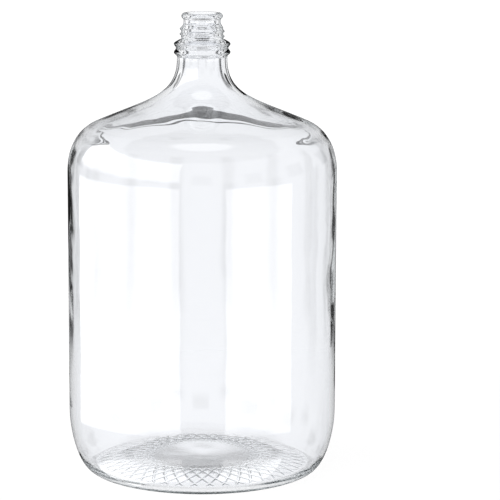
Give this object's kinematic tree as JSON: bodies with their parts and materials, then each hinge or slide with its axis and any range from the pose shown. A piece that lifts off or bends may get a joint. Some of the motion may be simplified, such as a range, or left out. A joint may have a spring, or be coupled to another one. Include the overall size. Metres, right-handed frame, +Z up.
{
  "type": "glass carboy",
  "caption": "Large round bottle of clear glass with a raised base, a sloping shoulder and a narrow open neck with transfer rings, a screw thread and a rounded lip.",
  "frame": {"origin": "on the bottle's axis, at the level of the ring that it stands on", "axes": "+Z up along the bottle's axis, from the base to the mouth"},
  "size_m": [0.3, 0.3, 0.5142],
  "materials": {
    "clear_glass": "clear and glossy, with a faint cool tint at the thick edges"
  },
  "bodies": {
    "root": {"glass_carboy": "clear_glass"}
  },
  "joints": []
}
